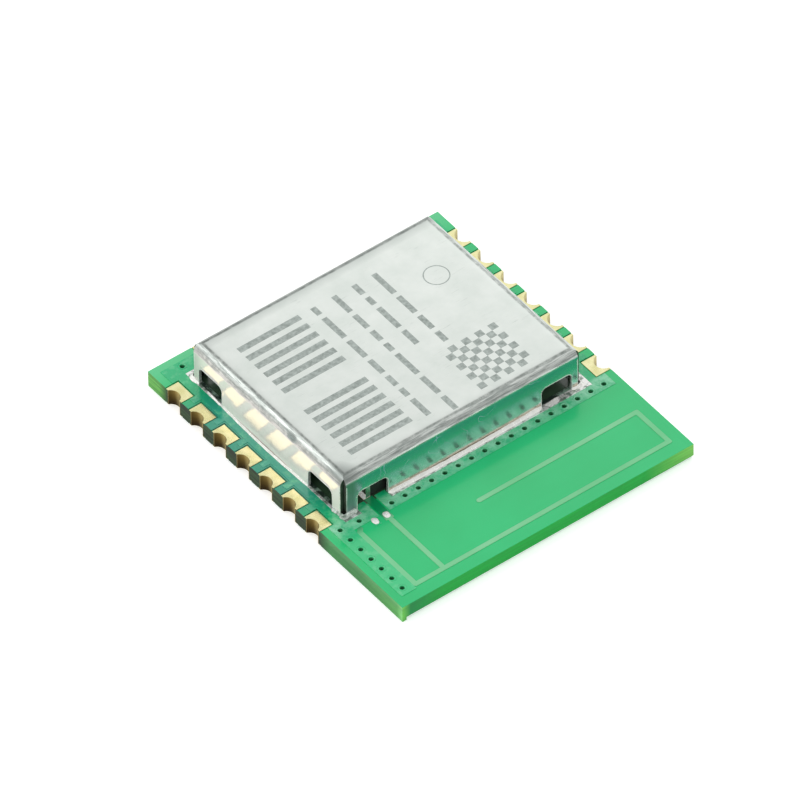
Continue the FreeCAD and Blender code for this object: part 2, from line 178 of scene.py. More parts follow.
# Colours are screen values from 0 to 255; a pair is what a noise changes between.
BOARD_GREENS = ((10, 190, 112), (0, 184, 106))
# Painted light: a teal tone for the light that the can's left wall throws back onto the board beside it
BOARD_WALL_LIGHT = (34, 148, 120)
BOARD_REAR = (76, 195, 131)
# Painted shade on the board under the can
BOARD_SHADE_UNDER_CAN = (56, 82, 60)
COPPER_GREENS = ((20, 182, 118), (0, 168, 106))
# Painted light: a teal tone for the light that the can's left wall throws back onto the copper beside it
COPPER_WALL_LIGHT = (46, 158, 130)
COPPER_BEFORE_CAN = (52, 192, 124)
COPPER_SPECKS = (112, 204, 150)
FLUX_ON_COPPER = (136, 208, 170)
TRACE_GREENS = ((120, 200, 146), (96, 190, 128))
TRACE_NEAR_CAN = (6, 140, 84)

# The laminate's colours hold painted light and shade: lit where no copper shades the cut edge, dark olive
# beside the contacts, with a painted highlight along the top of the left face
LAMINATE_TIP = (110, 200, 84)
LAMINATE_FRONT = ((14, 140, 68), (0, 173, 60), (122, 204, 88))
LAMINATE_LEFT = ((132, 212, 122), (92, 170, 88), (66, 136, 76))
LAMINATE_LEFT_TOP_HIGHLIGHT = (120, 176, 122)
LAMINATE_SHADED = ((24, 38, 18), (48, 66, 36))
LAMINATE_REAR = ((110, 184, 84), (88, 160, 76))
LAMINATE_GRAIN = (30, 90, 44)

SOLDER_GREYS = ((252, 251, 247), (238, 238, 232))
# Solder at the can's front left corner: its dark green is grey flux and a painted reflection of the board
SOLDER_FLUX_AND_REFLECTION_GREYS = ((48, 84, 62), (232, 242, 234))
LAND_CLEAN = ((252, 252, 249), (140, 156, 144))
# Painted shade on the land inside the can
LAND_SHADE_UNDER_CAN = ((24, 44, 34), (128, 156, 138))
GOLD_LAND = ((241, 236, 185), (229, 224, 162))
# Barrels: painted shade low in the holes and where they face the front, painted light where they face the
# rear and on the right-hand contacts
GOLD_BARREL = ((70, 52, 16), (160, 136, 76))
GOLD_BARREL_SHADE = (48, 36, 10)
GOLD_BARREL_LIGHT = (204, 188, 126)
GOLD_BARREL_RIGHT_LIT = ((164, 142, 92), (212, 202, 148))

TIN = ((238, 243, 238), (226, 233, 227))
# Painted light: the can's left wall is lighter than the rest
TIN_LEFT_WALL_LIT = (249, 242, 236)
# Painted shade: the front wall's tint, darker and bluer towards its top
TIN_FRONT_WALL_SHADE = ((167, 194, 219), (206, 240, 234))
TIN_FRONT_FOOT = (214, 204, 186)
# Painted shade on the leg at the front wall's left end
TIN_FRONT_LEG_SHADE = (132, 158, 156)
# Painted shade at the can's front corner and in its dent
TIN_CORNER_SHADE = (120, 128, 124)
TIN_DENT_SHADE = (96, 122, 122)
TIN_REAR_BAND = (150, 158, 154)
TIN_SCUFFED = (186, 194, 189)
TIN_WORN = (146, 154, 150)
# Painted shade along the folds
TIN_FOLD_SHADE = (110, 118, 114)
TIN_LOW_BEND_SHADE = (136, 141, 135)
TIN_ETCHED = ((200, 209, 204), (160, 169, 164))
TIN_PUNCHED = ((236, 241, 237), (196, 204, 198))
# Painted shade: dark tin inside the can and on the cut faces of its slits
TIN_INSIDE_SHADE = ((112, 120, 112), (82, 90, 82))

BARE_COPPER = ((226, 196, 124), (204, 170, 100))
VIA_GREENS = ((66, 166, 108), (44, 132, 82))
CHIP_DIE = ((40, 42, 48), (28, 29, 34))
CHIP_CAPS = (216, 218, 212)
CAPACITOR_BROWNS = ((170, 140, 104), (146, 116, 84))
RESISTOR_BLACKS = ((38, 38, 40), (24, 24, 26))
INDUCTOR_BLACKS = ((62, 62, 64), (44, 44, 46))
FILTER_BLACKS = ((34, 34, 34), (20, 20, 20))
CRYSTAL_CERAMIC = ((120, 112, 104), (98, 92, 86))
CRYSTAL_METAL = ((214, 208, 196), (190, 184, 172))

# Stretches over which one colour gives way to the next: where it starts and where it is full
TRACE_CHANGE = (-4.1, -3.7)
STRIP_ACROSS = (-5.9, -6.2)
STRIP_ALONG = ((-2.6, -1.0), (6.4, 5.0))
COPPER_FRONT = (-3.7, -4.3)
FLUX_ALONG = ((-4.0, -3.45), (-2.9, -3.1))
BOARD_REAR_ALONG = (7.0, 8.0)
LAMINATE_FRONT_CHANGES = ((-7.2, -6.85), (-6.7, -5.2), (4.8, 7.2))
LAMINATE_LEFT_CHANGES = ((-8.2, -7.9), (-8.0, -5.5))
LAMINATE_TOP_CHANGE = (0.45, 0.75)
LAMINATE_BESIDE_CONTACTS = (-3.6, -2.9)
LAMINATE_BEHIND_CONTACTS = (7.0, 7.5)
BARREL_HEIGHT = (0.1, 0.8)
BARREL_RIGHT_HEIGHT = (0.15, 0.6)
FRONT_WALL_HEIGHT = (2.3, 1.3)

# How far inside the can's sides the board starts to be covered, and is
COVER_EDGE = (0.01, 0.06)

# Reach of the painted shade at the can's front corner and at its dent
CORNER_SHADE = (1.1, 1.3, 0.5)
DENT_SHADE = (0.18, 0.36, 0.18)


# Places read from the frame

def box_of(node):
    """Lowest and highest corner of a node in millimetres."""
    low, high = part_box(node)
    return [c / MM for c in low], [c / MM for c in high]


CAN_LOW, CAN_HIGH = box_of("shield_can")
COPPER_TOP = box_of("ground_copper")[1][2]
FOOT = CAN_LOW[2]
LID = CAN_HIGH[2]

# Stretches of colour and haze that follow the can
FRONT_LEG = (CAN_LOW[0] + 1.0, CAN_LOW[0] + 0.5)
FRONT_FOOT = (FOOT + 0.3, FOOT + 0.18)
REAR_BAND = (CAN_HIGH[1] - 0.8, CAN_HIGH[1] - 0.35)
HAZE = (2.0, FOOT)


def wave(x, y, z):
    """Smooth noise from -1 to 1."""
    return noise.noise(Vector((x, y, z)))


# Meshes

def place_object(name, data):
    """A new object in the scene."""
    piece = bpy.data.objects.new(name, data)
    bpy.context.scene.collection.objects.link(piece)
    return piece


def mesh_piece(name, points, faces, materials, replaced=(), kinds=None):
    """A piece made of points in millimetres, riding on the module."""
    mesh = bpy.data.meshes.new(name)
    mesh.from_pydata([Vector(p) * MM for p in points], [], faces)
    for material in materials:
        mesh.materials.append(material)
    if kinds:
        mesh.polygons.foreach_set("material_index", kinds)
    mesh.validate()
    mesh.update()
    mesh.shade_smooth()
    piece = place_object(name, mesh)
    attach(piece, ROOT)
    if replaced:
        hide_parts(*replaced)
    return piece


def weld(piece):
    """Joins the points of a piece that lie in the same place."""
    modifier = piece.modifiers.new("weld", "WELD")
    modifier.merge_threshold = WELD_DISTANCE * MM


def soften(node, width, material):
    """Gives a CAD node its material and slightly rounded edges."""
    piece = frame["nodes"][node]
    for slot in piece.material_slots:
        slot.material = material
    weld(piece)
    flats = piece.modifiers.new("flats", "DECIMATE")
    flats.decimate_type = "DISSOLVE"
    flats.angle_limit = math.radians(FLAT_ANGLE)
    bevel = piece.modifiers.new("bevel", "BEVEL")
    bevel.width = width * MM
    bevel.segments = 2
    bevel.limit_method = "ANGLE"
    bevel.angle_limit = math.radians(EDGE_ANGLE)
    bevel.harden_normals = True


# Nodes of materials and of the world

def linear(red, green, blue):
    """A colour written as screen values from 0 to 255, as the shader wants it."""
    def channel(value):
        value /= 255
        return value / 12.92 if value <= 0.04045 else ((value + 0.055) / 1.055) ** 2.4
    return channel(red), channel(green), channel(blue), 1.0


class Nodes:
    """A node tree under construction, with short ways to add what every tree uses."""

    def __init__(self, tree):
        self.tree = tree

    def add(self, kind, **values):
        """A node; a value named with a capital feeds an input, any other is a setting."""
        node = self.tree.nodes.new(kind)
        for key, value in values.items():
            if key[0].isupper():
                self.feed(node.inputs[key.replace("_", " ")], value)
            else:
                setattr(node, key, value)
        return node

    def link(self, source, target):
        self.tree.links.new(source, target)

    def feed(self, socket, value):
        """Sets a socket to a number or a colour, or links an output to it."""
        if isinstance(value, (int, float)):
            socket.default_value = value
        elif isinstance(value, tuple):
            socket.default_value = linear(*value)
        else:
            self.link(value, socket)

    def span(self, value, low, high, to_low=0.0, to_high=1.0, shape="LINEAR"):
        """Value carried from one range to another and kept inside it."""
        node = self.add("ShaderNodeMapRange", clamp=True, interpolation_type=shape, Value=value,
                        From_Min=low, From_Max=high, To_Min=to_low, To_Max=to_high)
        return node.outputs["Result"]

    def math(self, operation, first, second):
        node = self.add("ShaderNodeMath", operation=operation)
        for socket, value in zip(node.inputs, (first, second)):
            self.feed(socket, value)
        return node.outputs[0]

    def chain(self, operation, first, *others):
        """One operation on all the values, from the first to the last."""
        for other in others:
            first = self.math(operation, first, other)
        return first

    def product(self, *values):
        return self.chain("MULTIPLY", *values)

    def total(self, *values):
        return self.chain("ADD", *values)

    def away(self, value, middle):
        """How far a value is from a middle, either way."""
        return self.math("ABSOLUTE", self.math("SUBTRACT", value, middle), 0.0)

    def band(self, value, rise, fall):
        """1 between two stretches of a value, each given as where it is 0 and where it is 1."""
        return self.math("MINIMUM", self.span(value, *rise), self.span(value, *fall))


class Paint(Nodes):
    """A material under construction; tone is the colour painted so far."""

    def __init__(self, name):
        self.material = bpy.data.materials.new(name)
        self.material.use_nodes = True
        super().__init__(self.material.node_tree)
        self.shader = self.tree.nodes["Principled BSDF"]
        self.tone = None

    def set(self, **values):
        for key, value in values.items():
            self.shader.inputs[key.replace("_", " ")].default_value = value

    def place(self, scale=(1, 1, 1), turn=0.0):
        """Object coordinates in millimetres, stretched and turned about Z."""
        coordinates = self.add("ShaderNodeTexCoord")
        mapping = self.add("ShaderNodeMapping", Vector=coordinates.outputs["Object"])
        mapping.inputs["Scale"].default_value = [s / MM for s in scale]
        mapping.inputs["Rotation"].default_value = (0, 0, math.radians(turn))
        return mapping.outputs["Vector"]

    def part(self, coordinates, name):
        """One of the parts, X, Y or Z, of some coordinates."""
        return self.add("ShaderNodeSeparateXYZ", Vector=coordinates).outputs[name]

    def axis(self, name):
        """One of the object coordinates in millimetres."""
        return self.part(self.place(), name)

    def turned(self, name):
        """How far the surface faces along an axis, from -1 to 1."""
        return self.part(self.add("ShaderNodeTexCoord").outputs["Normal"], name)

    def facing(self, name):
        """How far the surface faces along an axis, from 0 to 1, either way."""
        return self.math("ABSOLUTE", self.turned(name), 0.0)

    def noise(self, scale, detail=3.0, roughness=0.5, place=None):
        node = self.add("ShaderNodeTexNoise", Scale=scale, Detail=detail, Roughness=roughness,
                        Vector=self.place() if place is None else place)
        return node.outputs["Fac"]

    def patches(self, scale, low=0.3, high=0.7, to=(0.0, 1.0), **noise):
        """Soft patches: a range of the noise carried to another."""
        return self.span(self.noise(scale, **noise), low, high, *to)

    def blend(self, factor, first, second):
        """A colour between two, each a colour or an output."""
        node = self.add("ShaderNodeMix", data_type="RGBA", Factor=factor)
        colours = [s for s in node.inputs if s.type == "RGBA"]
        self.feed(colours[0], first)
        self.feed(colours[1], second)
        return [s for s in node.outputs if s.type == "RGBA"][0]

    def over(self, mask, colour):
        """Lays a colour over what is painted so far, as far as a mask says."""
        self.tone = self.blend(mask, self.tone, colour)

    def drive(self, socket, output):
        self.link(output, self.shader.inputs[socket])

    def finish(self, relief=None, distance=0.0, strength=1.0):
        """The finished material, with its colour and any relief linked to the shader."""
        self.drive("Base Color", self.tone)
        if relief is not None:
            bump = self.add("ShaderNodeBump", Distance=distance * MM, Strength=strength, Height=relief)
            self.drive("Normal", bump.outputs["Normal"])
        return self.material


# Green mask and laminate

def mask_paint(name, greens, own_looks):
    """Green solder mask: glossy and a little uneven, with what one node has for itself."""
    paint = Paint(name)
    paint.tone = paint.blend(paint.patches(0.35, 0.35, 0.65, detail=2.0), *greens)
    paint.set(Roughness=0.25, Coat_Weight=0.6, Coat_Roughness=0.1)
    own_looks(paint)
    return paint.finish(paint.noise(5.0, 2.0), 0.003, 0.5)


# Painted light: a teal tone on the strip beside the can's left wall, between its windows, for the light
# that the wall throws back
def painted_wall_light_strip(paint, colour):
    across = paint.span(paint.axis("X"), *STRIP_ACROSS)
    paint.over(paint.product(across, paint.band(paint.axis("Y"), *STRIP_ALONG)), colour)


def trace_looks(paint):
    paint.over(paint.span(paint.axis("Y"), *TRACE_CHANGE), TRACE_NEAR_CAN)


def copper_looks(paint):
    """Paler copper before the can, with a line of flux along its wall, specks all over, and painted light
    from the can's left wall on the strip beside it.
    """
    painted_wall_light_strip(paint, COPPER_WALL_LIGHT)
    paint.over(paint.span(paint.axis("Y"), *COPPER_FRONT), COPPER_BEFORE_CAN)
    residue = paint.patches(3.0, 0.36, 0.62, to=(0.15, 0.9), detail=4.0, roughness=0.7)
    paint.over(paint.product(paint.band(paint.axis("Y"), *FLUX_ALONG), residue), FLUX_ON_COPPER)
    paint.over(paint.patches(2.4, 0.5, 0.68, to=(0.0, 0.55), detail=4.0, roughness=0.6), COPPER_SPECKS)


def board_looks(paint):
    """Painted light from the can's left wall on the strip beside it, a paler rear, painted shade under the
    can and bare laminate on the cut sides.
    """
    painted_wall_light_strip(paint, BOARD_WALL_LIGHT)
    paint.over(paint.span(paint.axis("Y"), *BOARD_REAR_ALONG), BOARD_REAR)
    # Painted shade under the can
    paint.over(covered_by_can(paint), BOARD_SHADE_UNDER_CAN)
    level = paint.span(paint.facing("Z"), 0.45, 0.65)
    paint.tone = paint.blend(level, laminate_colour(paint), paint.tone)
    paint.drive("Roughness", paint.span(level, 0.0, 1.0, 0.7, 0.25))
    paint.drive("Coat Weight", paint.span(level, 0.0, 1.0, 0.0, 0.6))


def covered_by_can(paint):
    """1 on the stretch of board under the can, where shade is painted, and 0 elsewhere."""
    sides = []
    for name, low, high in zip("XY", CAN_LOW, CAN_HIGH):
        half = (high - low) / 2
        away = paint.away(paint.axis(name), (low + high) / 2)
        sides.append(paint.span(away, *(half - inner for inner in COVER_EDGE)))
    return paint.product(*sides)


def laminate_colour(paint):
    """The cut edge of the laminate: bright where no copper shades it, dark olive beside the contacts."""
    along = paint.axis("Y")
    across = paint.axis("X")
    front = LAMINATE_TIP
    for change, colour in zip(LAMINATE_FRONT_CHANGES, LAMINATE_FRONT):
        front = paint.blend(paint.span(across, *change), front, colour)
    near_tip, far_from_tip = (paint.span(along, *change) for change in LAMINATE_LEFT_CHANGES)
    corner, middle, far = LAMINATE_LEFT
    left = paint.blend(near_tip, corner, paint.blend(far_from_tip, middle, far))
    # Painted highlight along the top of the left face
    left = paint.blend(paint.span(paint.axis("Z"), *LAMINATE_TOP_CHANGE, 0.0, 0.4), left, LAMINATE_LEFT_TOP_HIGHLIGHT)
    lit = paint.blend(paint.facing("X"), front, left)

    layers = paint.patches(1.0, 0.35, 0.65, detail=2.0, place=paint.place(scale=(0.5, 0.5, 12)))
    shaded = paint.blend(layers, *LAMINATE_SHADED)
    rear = paint.blend(layers, *LAMINATE_REAR)
    beyond = paint.blend(paint.span(along, *LAMINATE_BEHIND_CONTACTS), shaded, rear)
    plain = paint.blend(paint.span(along, *LAMINATE_BESIDE_CONTACTS), lit, beyond)
    return paint.blend(paint.span(layers, 0.0, 1.0, 0.0, 0.25), plain, LAMINATE_GRAIN)


# Metals

def metal_paint(name, shades, roughness, scale=3.0, bump=0.002, bump_scale=12.0, metallic=1.0):
    """A metal with an uneven colour, roughness and surface."""
    paint = Paint(name)
    paint.tone = paint.blend(paint.patches(scale), *shades)
    paint.drive("Roughness", paint.patches(scale * 2.5, to=roughness, detail=2.0))
    paint.set(Metallic=metallic)
    return paint.finish(paint.noise(bump_scale, 2.0), bump, 0.6)


def land_paint():
    """The tinned land under the can's foot, with painted shade on the stretch inside the can, where it is
    also less metallic.
    """
    paint = Paint("tinned_land")
    clean = paint.blend(paint.patches(4.2, 0.46, 0.6, roughness=0.6), *LAND_CLEAN)
    under_can_shade = paint.blend(paint.patches(2.2, 0.48, 0.6, detail=4.0, roughness=0.7), *LAND_SHADE_UNDER_CAN)
    covered = covered_by_can(paint)
    # Painted shade on the stretch inside the can
    paint.tone = paint.blend(covered, clean, under_can_shade)
    paint.drive("Metallic", paint.span(covered, 0.0, 1.0, 0.6, 0.1))
    paint.drive("Roughness", paint.patches(7.0, to=(0.28, 0.5), detail=2.0))
    return paint.finish(paint.noise(9.0, 2.0), 0.006, 0.8)


def gold_paint():
    """Gold plating: bright on the lands; in the cut half holes painted shade darkens the barrels towards
    the bottom and where they face the front, and painted light brightens them where they face the rear and
    on the right-hand contacts.
    """
    paint = Paint("contact_gold")
    cloud = paint.patches(2.5)
    height = paint.axis("Z")
    turned = paint.turned("Y")
    # Painted shade low in the barrels and where they face the front, painted light where they face the rear
    # and on the right
    barrel = paint.blend(paint.span(height, *BARREL_HEIGHT), *GOLD_BARREL)
    barrel = paint.blend(paint.span(turned, -0.9, 0.1, 0.75, 0.0), barrel, GOLD_BARREL_SHADE)
    barrel = paint.blend(paint.span(turned, -0.45, 0.2, 0.0, 0.6), barrel, GOLD_BARREL_LIGHT)
    right = paint.blend(paint.span(height, *BARREL_RIGHT_HEIGHT), *GOLD_BARREL_RIGHT_LIT)
    barrel = paint.blend(paint.span(paint.axis("X"), -1.0, 1.0), barrel, right)
    level = paint.span(paint.facing("Z"), 0.3, 0.7)
    paint.tone = paint.blend(level, barrel, paint.blend(cloud, *GOLD_LAND))
    paint.drive("Roughness", paint.total(paint.span(level, 0.0, 1.0, 0.2, 0.0),
                                         paint.span(cloud, 0.0, 1.0, 0.2, 0.28)))
    paint.set(Metallic=1.0)
    return paint.finish(paint.noise(14.0, 2.0), 0.002, 0.6)


def etched_paint():
    """The can's sheet where a laser has dulled it, darker and mottled."""
    paint = Paint("can_etched")
    paint.tone = paint.blend(paint.patches(6.0, 0.35, 0.7, roughness=0.7), *TIN_ETCHED)
    paint.set(Metallic=1.0, Roughness=0.5)
    return paint.finish()


def can_paint():
    """Tin-plated sheet: smooth on the flats, scored where it is bent, dull on its left wall; painted light
    makes the left wall lighter, and painted shade darkens the front wall, the front corner, the dent and
    the folds.
    """
    paint = Paint("can_metal")
    level = paint.facing("Z")
    ahead = paint.span(paint.turned("Y"), -0.95, -0.995)
    aside = paint.span(paint.turned("X"), -0.75, -0.98)
    leg = paint.product(ahead, paint.span(paint.axis("X"), *FRONT_LEG))
    bent = paint.band(level, (0.05, 0.3), (0.995, 0.9))
    scuffs = scuff_marks(paint)
    score = bend_score(paint)

    paint.tone = paint.blend(paint.patches(0.8, roughness=0.6), *TIN)
    # Painted light on the left wall
    paint.over(aside, TIN_LEFT_WALL_LIT)
    # Painted shade on the front wall and its leg
    paint.over(ahead, front_wall_colour(paint, leg))
    # Painted shade at the front corner and in the dent
    paint.over(paint.product(near(paint, (CAN_LOW[0], CAN_LOW[1], LID), CORNER_SHADE), 0.6), TIN_CORNER_SHADE)
    paint.over(paint.product(near(paint, DENT_PLACE, DENT_SHADE), 0.85), TIN_DENT_SHADE)
    paint.over(paint.span(paint.axis("Y"), *REAR_BAND, 0.0, 0.4), TIN_REAR_BAND)
    paint.over(paint.product(scuffs, 0.4), TIN_SCUFFED)
    paint.over(paint.product(bent, paint.span(score, 0.42, 0.62), 0.8), TIN_WORN)
    # Painted shade along the folds
    painted_fold_shade(paint, level)

    paint.drive("Metallic", paint.math("SUBTRACT", 1.0, can_dullness(paint, ahead, aside)))
    flat = paint.span(level, 0.2, 0.9, 0.15, 0.3)
    paint.drive("Roughness", paint.total(flat, paint.product(bent, 0.08), paint.product(leg, 0.2),
                                         paint.product(scuffs, 0.1)))
    waves = paint.product(paint.noise(1.4, 1.0), aside, 60.0)
    relief = paint.total(paint.product(score, bent, 9.0), waves, paint.noise(9.0, 2.0))
    return paint.finish(relief, 0.0006, 0.5)


def front_wall_colour(paint, leg):
    """The front wall, with painted shade: its tint darker and bluer towards the top and darker on the leg
    at its left end; it is warm along its foot.
    """
    height = paint.axis("Z")
    wall = paint.blend(paint.span(height, *FRONT_WALL_HEIGHT), *TIN_FRONT_WALL_SHADE)
    wall = paint.blend(paint.span(height, *FRONT_FOOT), wall, TIN_FRONT_FOOT)
    return paint.blend(leg, wall, TIN_FRONT_LEG_SHADE)


def scuff_marks(paint):
    """Fine straight scuffs in two directions, in patches."""
    marks = []
    for turn, stretch in ((12, 16), (-38, 22)):
        place = paint.place(scale=(1.2, stretch, 1.2), turn=turn)
        marks.append(paint.patches(1.0, 0.64, 0.74, detail=2.0, roughness=0.7, place=place))
    return paint.product(paint.math("MAXIMUM", *marks), paint.patches(0.9, 0.48, 0.62, detail=2.0))


def bend_score(paint):
    """Streaks that run along each bend."""
    ends = paint.span(paint.facing("Y"), 0.0, 0.15)
    sides = paint.math("SUBTRACT", 1.0, ends)
    along_x, along_y = (paint.noise(1.0, 3.0, 0.65, paint.place(scale=scale))
                        for scale in ((1.1, 14, 14), (14, 1.1, 14)))
    return paint.total(paint.product(along_x, ends), paint.product(along_y, sides))


def painted_fold_shade(paint, level):
    """Painted shade: dark lines where the lid turns into a bend, and where the left bend turns into its
    wall.
    """
    mottle = paint.patches(3.5, 0.36, 0.64, detail=4.0, roughness=0.7)
    lid_fold = paint.band(level, (0.9, 0.965), (0.9995, 0.988))
    paint.over(paint.product(lid_fold, paint.span(mottle, 0.0, 1.0, 0.2, 0.75)), TIN_FOLD_SHADE)
    low_bend = paint.band(level, (0.02, 0.2), (0.8, 0.6))
    left = paint.span(paint.turned("X"), -0.2, -0.5)
    paint.over(paint.product(low_bend, left, paint.span(mottle, 0.0, 1.0, 0.75, 0.25)), TIN_LOW_BEND_SHADE)


def can_dullness(paint, ahead, aside):
    """How dull the can is: hazy low on its front wall, dull on its left one, scratched in lines."""
    low = paint.span(paint.axis("Z"), *HAZE, 0.02, 0.3)
    haze = paint.product(ahead, low, paint.patches(2.6, to=(0.7, 1.4)))
    return paint.chain("MAXIMUM", haze, paint.product(aside, 0.72), hairlines(paint, ahead))


def near(paint, place, reach):
    """1 at a place and 0 beyond its reach along each axis."""
    squares = []
    for axis, middle, size in zip("XYZ", place, reach):
        away = paint.math("DIVIDE", paint.math("SUBTRACT", paint.axis(axis), middle), size)
        squares.append(paint.product(away, away))
    return paint.span(paint.total(*squares), 1.0, 0.2)


def hairlines(paint, where):
    """A few fine curved scratches on one stretch of wall, 0 away from them."""
    height = paint.noise(1.0, 1.0, place=paint.place(scale=(0.9, 0.9, 0.7)))
    line = paint.span(paint.away(height, 0.52), 0.0, 0.006, 0.5, 0.0)
    return paint.product(line, paint.patches(0.8, 0.45, 0.56, detail=1.0), where)


# Small parts

def plain_paint(name, shades, roughness):
    """A dull body with a slightly uneven colour and surface."""
    paint = Paint(name)
    paint.tone = paint.blend(paint.patches(8.0, detail=4.0), *shades)
    paint.drive("Roughness", paint.patches(8.0, to=(roughness, roughness + 0.15)))
    return paint.finish(paint.noise(24.0), 0.003, 0.5)


def chip_paint(name, shades, cap_share, axis):
    """A ceramic chip with metal caps at the two ends of its length."""
    paint = Paint(name)
    place = paint.part(paint.add("ShaderNodeTexCoord").outputs["Generated"], axis)
    end = 0.5 - cap_share
    cap = paint.span(paint.away(place, 0.5), end - 0.005, end + 0.005)
    paint.tone = paint.blend(cap, paint.blend(paint.patches(8.0), *shades), CHIP_CAPS)
    paint.drive("Metallic", cap)
    paint.drive("Roughness", paint.span(cap, 0.0, 1.0, 0.55, 0.25))
    return paint.finish(paint.noise(20.0), 0.002, 0.5)


# Shield can: one folded sheet, laid out as a lid, four bends and four walls

class Sheet:
    """Collects the points and faces of the can's outer skin, and the kind of each face."""

    def __init__(self):
        self.points = []
        self.faces = []
        self.kinds = []

    def grid(self, rows):
        """Faces between rows of points."""
        start = len(self.points)
        width = len(rows[0])
        for row in rows:
            self.points += row
        for r in range(len(rows) - 1):
            for c in range(width - 1):
                a = start + r * width + c
                self.faces.append((a, a + 1, a + 1 + width, a + width))
                self.kinds.append(PLAIN)

    def fill(self, points, faces, kinds):
        start = len(self.points)
        self.points += points
        self.faces += [tuple(start + i for i in face) for face in faces]
        self.kinds += kinds


def steps(low, high, size):
    """Evenly spaced values from low to high, about size apart."""
    count = max(1, round((high - low) / size))
    return [low + (high - low) * i / count for i in range(count + 1)]


def grid_points(xs, ys):
    """Flat points at each pair of two lists of values, without their first and last."""
    return [Vector((x, y)) for x in xs[1:-1] for y in ys[1:-1]]


def border(wide, long):
    """Points round a grid of so many cells each way, as pairs of a column and a row."""
    half = [(i, 0) for i in range(wide)] + [(wide, j) for j in range(long)]
    return half + [(wide - i, long - j) for i, j in half]


def quarter_turn(count):
    """Angles from nothing to a quarter turn."""
    return [math.pi / 2 * i / count for i in range(count + 1)]


def closed(start, outline):
    """Edges that join the points of a closed outline, numbered from a start."""
    return [(start + i, start + (i + 1) % len(outline)) for i in range(len(outline))]


class Side:
    """One wall of the can seen from outside: s runs along it to the right."""

    def __init__(self, name, corner, along, out, length, near, far):
        self.corner, self.along, self.out = Vector(corner), Vector(along), Vector(out)
        self.length = length
        self.flare_reach, self.flare_height = FLARE[name]
        self.windows = [(near, near + WINDOW_WIDTH), (length - far - WINDOW_WIDTH, length - far)]

    def flare(self, s, z):
        """How far the wall's foot leans out between its windows."""
        start, end = (sum(window) / 2 for window in self.windows)
        share = (s - start) / (end - start)
        rise = (z - FOOT) / self.flare_height
        if not 0 < share < 1 or rise > 1:
            return 0.0
        return self.flare_reach * math.sin(math.pi * share) * (1 - rise) ** 2

    def point(self, s, depth, z):
        """A point at s along the wall, depth inside its outer face."""
        flat = self.corner + self.along * s + self.out * (self.flare(s, z) - depth)
        return Vector((flat.x, flat.y, z))

    def bend(self, sheet):
        """The strip that turns from the lid down to the wall, mitred at both ends."""
        inner = steps(BEND_RADIUS, self.length - BEND_RADIUS, CELL)
        rows = []
        for angle in quarter_turn(BEND_STEPS):
            depth = BEND_RADIUS * (1 - math.sin(angle))
            z = LID - BEND_RADIUS + BEND_RADIUS * math.cos(angle)
            end = max(depth, SLIT)
            left = [end + (BEND_RADIUS - end) * k / MITRE_STEPS for k in range(MITRE_STEPS)]
            self.top = left + inner + [self.length - s for s in reversed(left)]
            rows.append([self.point(s, depth, z) for s in self.top])
        sheet.grid(rows[::-1])

    def outline(self):
        """The wall's outline from its top right corner round, with a rounded notch at each window."""
        points = [(s, LID - BEND_RADIUS) for s in reversed(self.top)]
        points.append((self.top[0], FOOT))
        crest = FOOT + WINDOW_HEIGHT
        bows = [(WINDOW_RADIUS * (1 - math.cos(t)), WINDOW_RADIUS * (1 - math.sin(t)))
                for t in quarter_turn(ARC_STEPS)]
        for low, high in self.windows:
            points.append((low, FOOT))
            points += [(low + across, crest - down) for across, down in bows]
            points += [(high - across, crest - down) for across, down in reversed(bows)]
            points.append((high, FOOT))
        points.append((self.top[-1], FOOT))
        return [Vector(p) for p in points]

    def burr(self, spot, share):
        """Height of the burr at a spot of the wall; it fades out at the bend and at the foot."""
        below_bend = (LID - BEND_RADIUS - BURR_END - spot.y) / BURR_FADE
        over_foot = (spot.y - FOOT) / BURR_FADE
        level = min(1.0, max(0.0, below_bend), max(0.0, over_foot))
        ripple = 0.8 + 0.5 * wave(spot.x * 5, spot.y * 5, self.length)
        return BURR_HEIGHT * share * level * ripple

    def wall(self, sheet):
        """The flat wall below the bend, with a fine burr along its punched edges."""
        outline = self.outline()
        top = LID - BEND_RADIUS
        burrs = {}
        points, edges = [], []
        for distance, share in BURR_PROFILE:
            ring = inset(outline, distance * BURR_REACH)
            for i, spot in enumerate(ring, len(points)):
                burrs[i] = self.burr(spot, share)
            edges += closed(len(points), ring)
            points += ring
        for spot in grid_points(steps(self.top[0], self.top[-1], LID_CELL), steps(FOOT, top, LID_CELL)):
            if inside(spot, outline) and clearance(spot, outline) > BURR_CLEARANCE:
                points.append(spot)
        spots, faces, sources = triangles(points, edges, [list(range(len(outline)))])
        placed = []
        for spot, origins in zip(spots, sources):
            rise = max([burrs.get(i, 0.0) for i in origins] or [0.0])
            placed.append(self.point(spot.x, -rise, spot.y))
        kept, kinds = [], []
        for face in faces:
            middle = middle_of(spots, face)
            if inside(middle, outline):
                level = FOOT + PUNCHED_OVER_FOOT < middle.y < top - PUNCHED_BELOW_BEND
                punched = level and clearance(middle, outline) < PUNCHED_REACH
                kept.append(tuple(face))
                kinds.append(PUNCHED if punched else PLAIN)
        sheet.fill(placed, kept, kinds)


def ring_faces(here, there, size):
    """Faces between two rings of size points, given the first point of each."""
    return [(here + k, here + m, there + m, there + k) for k, m in closed(0, range(size))]


def middle_of(points, face):
    return sum((points[i] for i in face), Vector((0, 0))) / len(face)


def triangles(points, edges, within=()):
    """Triangles that keep some edges, inside an outline if one is given: spots, faces and sources."""
    made = geometry.delaunay_2d_cdt(points, edges, list(within), 1 if within else 0, TOLERANCE)
    return made[0], made[2], made[3]


